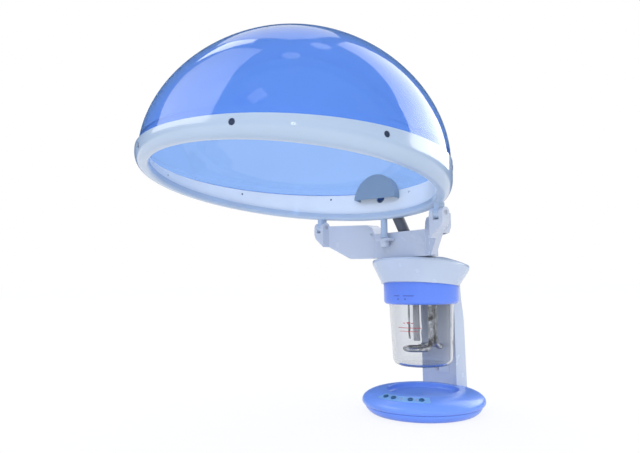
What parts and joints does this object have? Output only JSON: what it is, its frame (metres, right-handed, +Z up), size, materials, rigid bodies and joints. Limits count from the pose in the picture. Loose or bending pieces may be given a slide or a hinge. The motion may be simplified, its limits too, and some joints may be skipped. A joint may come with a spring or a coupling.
{
  "type": "hair steamer",
  "caption": "Table-top hair steamer: round base with rear column, steam head over a glass water jar, and a large domed hood on a swivelling, tilting carrier.",
  "frame": {"origin": "middle of the round base at the table's surface", "axes": "+Z up; -Y is the front, where the control strip is and the hood reaches out; +X is to the right as the object is seen from the front"},
  "size_m": [0.3798, 0.5131, 0.4947],
  "materials": {
    "base_blue": "gloss",
    "white_shell": "satin",
    "foot_rubber": "matte",
    "ballast_iron": "matte",
    "screw_steel": "satin",
    "panel_film": "satin",
    "button_teal": "satin",
    "lamp_pink": "clear",
    "board_green": "matte",
    "gland_rubber": "matte",
    "heater_steel": "polished",
    "tube_grey": "satin",
    "inner_plastic": "satin",
    "seal_rubber": "matte",
    "collar_blue": "gloss",
    "jar_glass": "clear",
    "hood_blue": "clear gloss",
    "hood_white": "gloss",
    "rim_screw_dark": "dark",
    "baffle_grey": "satin",
    "pipe_grey": "matte"
  },
  "bodies": {
    "stand": {"base_top_shell": "base_blue", "base_bottom_shell": "base_blue", "rubber_feet": "foot_rubber", "ballast_disc": "ballast_iron", "base_screws": "screw_steel", "control_panel": "panel_film", "panel_lamps": "lamp_pink", "control_board": "board_green", "cord_gland": "gland_rubber", "column": "white_shell", "column_screws": "screw_steel", "head_shell": "white_shell", "head_cover": "white_shell", "lock_ring": "inner_plastic", "heater_flange": "heater_steel", "heater_element": "heater_steel", "level_probe": "heater_steel", "sensor_tube": "tube_grey", "steam_chest": "inner_plastic", "outlet_socket": "inner_plastic", "outlet_seal": "seal_rubber"},
    "jar": {"jar_collar": "collar_blue", "glass_jar": "jar_glass", "jar_seal": "seal_rubber"},
    "carrier": {"carrier": "white_shell", "hub_cover_left": "white_shell", "hub_cover_right": "white_shell", "hub_cover_screws": "screw_steel", "hinge_pin_left": "screw_steel", "hinge_pin_right": "screw_steel", "drain_tray": "white_shell"},
    "hood": {"hood_rim": "hood_white", "hood_dome": "hood_blue", "inner_band": "hood_white", "rim_screws": "rim_screw_dark", "steam_baffle": "baffle_grey", "steam_pipe": "pipe_grey", "drain_spout": "hood_white"},
    "power_button": {"button_power": "button_teal"},
    "steam_button": {"button_steam": "button_teal"},
    "timer_button": {"button_timer": "button_teal"},
    "mode_button": {"button_mode": "button_teal"}
  },
  "joints": [
    {"name": "carrier_swivel", "type": "hinge", "parent": "stand", "child": "carrier", "pos_m": [0, -0.038, 0.215], "axis": [0, 0, 1], "range_deg": [-49, 71]},
    {"name": "hood_tilt", "type": "hinge", "parent": "carrier", "child": "hood", "pos_m": [-0.01202, -0.09984, 0.2705], "axis": [0.9816, -0.1908, 0], "range_deg": [0, 8]},
    {"name": "jar_turn", "type": "hinge", "parent": "stand", "child": "jar", "pos_m": [0, 0.003, 0.18], "axis": [0, 0, 1], "range_deg": [0, 40]},
    {"name": "power_press", "type": "slide", "parent": "stand", "child": "power_button", "axis": [0.0697, 0.2601, -0.9631], "range_m": [0, 0.0008], "stiffness_N_per_m": 300},
    {"name": "steam_press", "type": "slide", "parent": "stand", "child": "steam_button", "axis": [0.0188, 0.2686, -0.9631], "range_m": [0, 0.0008], "stiffness_N_per_m": 300},
    {"name": "timer_press", "type": "slide", "parent": "stand", "child": "timer_button", "axis": [-0.0742, 0.2588, -0.9631], "range_m": [0, 0.0008], "stiffness_N_per_m": 300},
    {"name": "mode_press", "type": "slide", "parent": "stand", "child": "mode_button", "axis": [-0.1264, 0.2377, -0.9631], "range_m": [0, 0.0008], "stiffness_N_per_m": 300}
  ]
}
